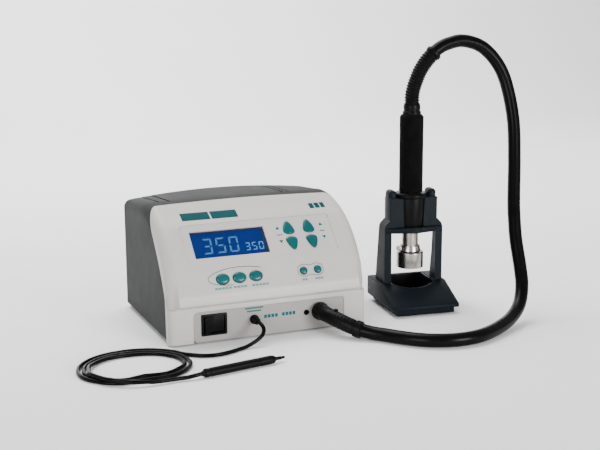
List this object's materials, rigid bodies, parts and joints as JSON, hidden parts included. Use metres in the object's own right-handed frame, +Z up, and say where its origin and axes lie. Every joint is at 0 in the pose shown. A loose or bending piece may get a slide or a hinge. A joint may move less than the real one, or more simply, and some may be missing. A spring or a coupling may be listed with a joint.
{
  "type": "hot air station",
  "caption": "Hot air rework station: sloped-face control unit with display and keys, hot air handle on a hose in its stand, and a vacuum pick-up pen.",
  "frame": {"origin": "on the bench, under the middle of the box that holds the unit, the stand, the handle and the pen, without the free hoses", "axes": "+X to the right along the unit's front, +Y towards its back, +Z up"},
  "size_m": [0.5821, 0.327, 0.3393],
  "materials": {
    "bezel": "fine satin, warm grey",
    "panel": "satin grey",
    "cover": "fine matte, dark grey",
    "tray": "satin black",
    "teal": "soft gloss teal",
    "black": "satin black",
    "enamel": "gloss black",
    "window": "clear",
    "lcd": "blue display",
    "board": "solder mask green",
    "rubber": "matte black",
    "hose": "glossy black",
    "foam": "matte foam",
    "slate": "satin slate",
    "steel": "bright",
    "heater": "bright, heat tinted",
    "cast": "cast",
    "core": "laminated core",
    "ceramic": "ceramic"
  },
  "bodies": {
    "unit": {"air_duct": "rubber", "air_pump": "cast", "base_tray": "tray", "connector_panel": "panel", "display_board": "board", "foot_front_left": "rubber", "foot_front_right": "rubber", "foot_rear_left": "rubber", "foot_rear_right": "rubber", "front_bezel": "bezel", "ground_jack": "black", "heat_cup": "enamel", "hose_gland": "rubber", "hose_lower": "hose", "lcd_module": "lcd", "lcd_window": "window", "main_board": "board", "mains_inlet": "black", "rear_cover": "cover", "rear_panel": "tray", "stand_base": "slate", "stand_pad_front_left": "rubber", "stand_pad_front_right": "rubber", "stand_pad_rear_left": "rubber", "stand_pad_rear_right": "rubber", "stand_upright": "slate", "switch_body": "black", "transformer": "core", "vacuum_hose_coil": "hose", "vacuum_hose_lead": "hose", "vacuum_line": "rubber", "vacuum_pump": "cast", "vacuum_socket": "black"},
    "handle": {"nozzle": "steel", "nozzle_clamp": "steel", "clamp_screw": "steel", "heater_tube": "heater", "heater_core": "ceramic", "heat_shroud": "black", "handle_collar": "black", "handle_core": "black", "foam_grip": "foam", "handle_cuff": "black", "hose_boot": "rubber", "boot_ring": "black", "hose_upper": "hose"},
    "pen": {"pen_body": "black", "pen_needle": "black", "vacuum_hose_tail": "hose"},
    "rocker": {"power_rocker": "black"},
    "drawer": {"fuse_drawer": "black"},
    "key_heat_up": {"key_heat_up": "teal"},
    "key_heat_down": {"key_heat_down": "teal"},
    "key_air_up": {"key_air_up": "teal"},
    "key_air_down": {"key_air_down": "teal"},
    "button_timer": {"button_timer": "teal"},
    "button_mode": {"button_mode": "teal"},
    "button_vacuum": {"button_vacuum": "teal"},
    "button_set": {"button_set": "teal"},
    "button_lock": {"button_lock": "teal"}
  },
  "joints": [
    {"name": "handle_lift", "type": "slide", "parent": "unit", "child": "handle", "axis": [0, 0, 1], "range_m": [0, 0.11]},
    {"name": "pen_lift", "type": "slide", "parent": "unit", "child": "pen", "axis": [0, 0, 1], "range_m": [0, 0.05]},
    {"name": "power_rocker_tilt", "type": "hinge", "parent": "unit", "child": "rocker", "pos_m": [-0.13763, -0.03899, 0.0222], "axis": [0, 0, 1], "range_deg": [-16, 0]},
    {"name": "fuse_drawer_slide", "type": "slide", "parent": "unit", "child": "drawer", "axis": [0, 1, 0], "range_m": [0, 0.015]},
    {"name": "key_heat_up_press", "type": "slide", "parent": "unit", "child": "key_heat_up", "axis": [0, 0.7071, -0.7071], "range_m": [0, 0.001], "stiffness_N_per_m": 400, "springref_m": -0.0006},
    {"name": "key_heat_down_press", "type": "slide", "parent": "unit", "child": "key_heat_down", "axis": [0, 0.7071, -0.7071], "range_m": [0, 0.001], "stiffness_N_per_m": 400, "springref_m": -0.0006},
    {"name": "key_air_up_press", "type": "slide", "parent": "unit", "child": "key_air_up", "axis": [0, 0.7071, -0.7071], "range_m": [0, 0.001], "stiffness_N_per_m": 400, "springref_m": -0.0006},
    {"name": "key_air_down_press", "type": "slide", "parent": "unit", "child": "key_air_down", "axis": [0, 0.7071, -0.7071], "range_m": [0, 0.001], "stiffness_N_per_m": 400, "springref_m": -0.0006},
    {"name": "button_timer_press", "type": "slide", "parent": "unit", "child": "button_timer", "axis": [0, 0.9135, -0.4067], "range_m": [0, 0.001], "stiffness_N_per_m": 400, "springref_m": -0.0006},
    {"name": "button_mode_press", "type": "slide", "parent": "unit", "child": "button_mode", "axis": [0, 0.9135, -0.4067], "range_m": [0, 0.001], "stiffness_N_per_m": 400, "springref_m": -0.0006},
    {"name": "button_vacuum_press", "type": "slide", "parent": "unit", "child": "button_vacuum", "axis": [0, 0.9135, -0.4067], "range_m": [0, 0.001], "stiffness_N_per_m": 400, "springref_m": -0.0006},
    {"name": "button_set_press", "type": "slide", "parent": "unit", "child": "button_set", "axis": [0, 0.9135, -0.4067], "range_m": [0, 0.001], "stiffness_N_per_m": 400, "springref_m": -0.0006},
    {"name": "button_lock_press", "type": "slide", "parent": "unit", "child": "button_lock", "axis": [0, 0.9135, -0.4067], "range_m": [0, 0.001], "stiffness_N_per_m": 400, "springref_m": -0.0006}
  ]
}
